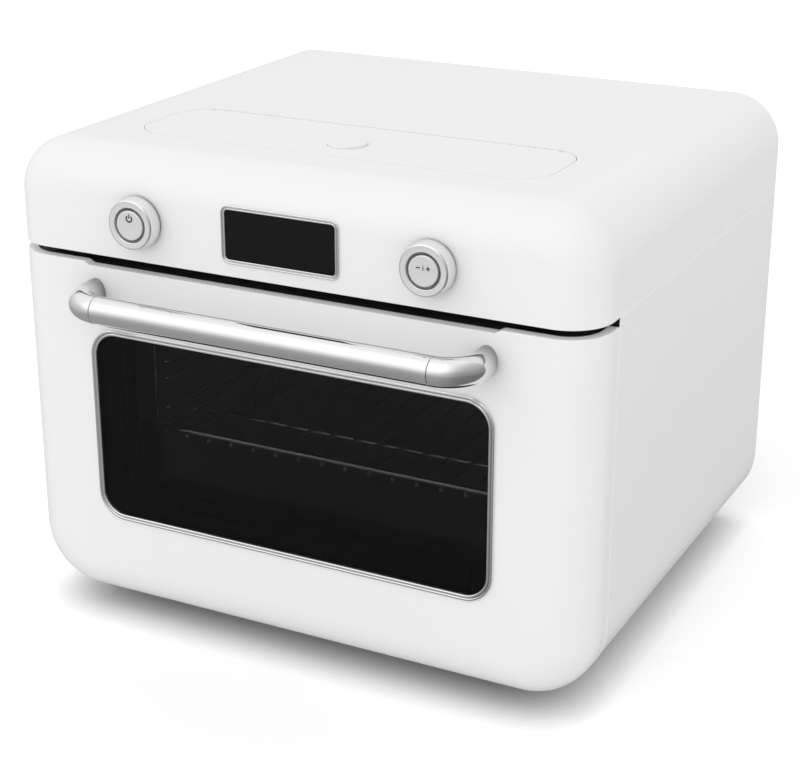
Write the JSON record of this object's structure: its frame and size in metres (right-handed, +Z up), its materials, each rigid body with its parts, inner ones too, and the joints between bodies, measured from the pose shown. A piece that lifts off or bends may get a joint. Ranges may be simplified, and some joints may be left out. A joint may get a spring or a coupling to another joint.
{
  "type": "countertop steam oven",
  "caption": "White countertop steam oven: rounded box, drop-down door with dark window and chrome handle, two dials with push caps, display, and a lift-out water tank under a flush top lid.",
  "frame": {"origin": "on the table under the middle of the whole object's box, handle included", "axes": "+X to the right as seen from the front, +Y to the back, +Z up; the front faces -Y"},
  "size_m": [0.495, 0.47, 0.3975],
  "materials": {
    "white_plastic": "glossy",
    "white_paint": "glossy",
    "black_paint": "satin",
    "chrome": "polished",
    "satin_metal": "satin",
    "dark_glass": "polished",
    "clear_glass": "polished",
    "display_black": "glossy",
    "stainless": "brushed",
    "zinc_steel": "satin",
    "seal_rubber": "matte",
    "dark_plastic": "matte",
    "grey_plastic": "matte",
    "clear_plastic": "glossy",
    "mineral_wool": "matte",
    "cast_aluminium": "cast",
    "board_green": "matte",
    "silicone": "matte"
  },
  "bodies": {
    "oven": {"top_shell": "white_plastic", "lower_casing": "white_paint", "base_plate": "zinc_steel", "feet": "seal_rubber", "back_panel": "zinc_steel", "back_screws": "zinc_steel", "cord_gland": "dark_plastic", "front_frame": "black_paint", "hinge_arms": "zinc_steel", "hinge_screws": "zinc_steel", "cavity": "stainless", "cavity_gasket": "seal_rubber", "insulation": "mineral_wool", "fan_cover": "stainless", "fan_motor": "zinc_steel", "ring_heater": "stainless", "grill_element": "stainless", "grill_hangers": "stainless", "lamp_lens": "clear_glass", "lamp_holder": "zinc_steel", "wire_shelf": "chrome", "display_trim": "chrome", "display_glass": "display_black", "display_module": "dark_plastic", "control_board": "board_green", "door_switch": "dark_plastic", "tank_well": "grey_plastic", "tank_socket": "grey_plastic", "equipment_deck": "zinc_steel", "steam_boiler": "cast_aluminium", "steam_pipe": "silicone", "water_pump": "grey_plastic", "feed_hose": "silicone", "power_board": "board_green", "left_side_rack": "chrome", "right_side_rack": "chrome", "left_knob_sleeve": "dark_plastic", "right_knob_sleeve": "dark_plastic"},
    "door": {"door_shell": "white_paint", "door_glass": "dark_glass", "window_trim": "chrome", "door_inner_sheet": "black_paint", "door_inner_glass": "clear_glass", "glass_clips": "zinc_steel", "handle_bar": "chrome", "handle_elbows": "chrome", "handle_screws": "zinc_steel", "hinge_pins": "zinc_steel", "door_brackets": "zinc_steel"},
    "fan": {"fan_wheel": "stainless", "fan_shaft": "zinc_steel"},
    "left_dial": {"left_knob": "chrome"},
    "right_dial": {"right_knob": "chrome"},
    "left_cap": {"left_knob_cap": "satin_metal"},
    "right_cap": {"right_knob_cap": "satin_metal"},
    "tank": {"water_tank": "clear_plastic", "lid_pins": "zinc_steel"},
    "lid": {"tank_lid": "white_plastic"},
    "button": {"tank_button": "white_plastic"}
  },
  "joints": [
    {"name": "door_hinge", "type": "hinge", "parent": "oven", "child": "door", "pos_m": [0, -0.173, 0.046], "axis": [1, 0, 0], "range_deg": [0, 85]},
    {"name": "fan_spin", "type": "hinge", "parent": "oven", "child": "fan", "pos_m": [0, 0.166, 0.183], "axis": [0, 1, 0], "continuous": true},
    {"name": "left_dial_turn", "type": "hinge", "parent": "oven", "child": "left_dial", "pos_m": [-0.1228, -0.189, 0.345], "axis": [0, 1, 0], "continuous": true},
    {"name": "right_dial_turn", "type": "hinge", "parent": "oven", "child": "right_dial", "pos_m": [0.1228, -0.189, 0.345], "axis": [0, 1, 0], "continuous": true},
    {"name": "left_cap_press", "type": "slide", "parent": "oven", "child": "left_cap", "axis": [0, 1, 0], "range_m": [0, 0.0015], "stiffness_N_per_m": 400, "springref_m": -0.001},
    {"name": "right_cap_press", "type": "slide", "parent": "oven", "child": "right_cap", "axis": [0, 1, 0], "range_m": [0, 0.0015], "stiffness_N_per_m": 400, "springref_m": -0.001},
    {"name": "tank_lift", "type": "slide", "parent": "oven", "child": "tank", "axis": [0, 0, 1], "range_m": [0, 0.09]},
    {"name": "lid_hinge", "type": "hinge", "parent": "tank", "child": "lid", "pos_m": [0, -0.0303, 0.3937], "axis": [-1, 0, 0], "range_deg": [0, 88]},
    {"name": "button_press", "type": "slide", "parent": "lid", "child": "button", "axis": [0, 0, -1], "range_m": [0, 0.0015], "stiffness_N_per_m": 400, "springref_m": -0.001}
  ]
}
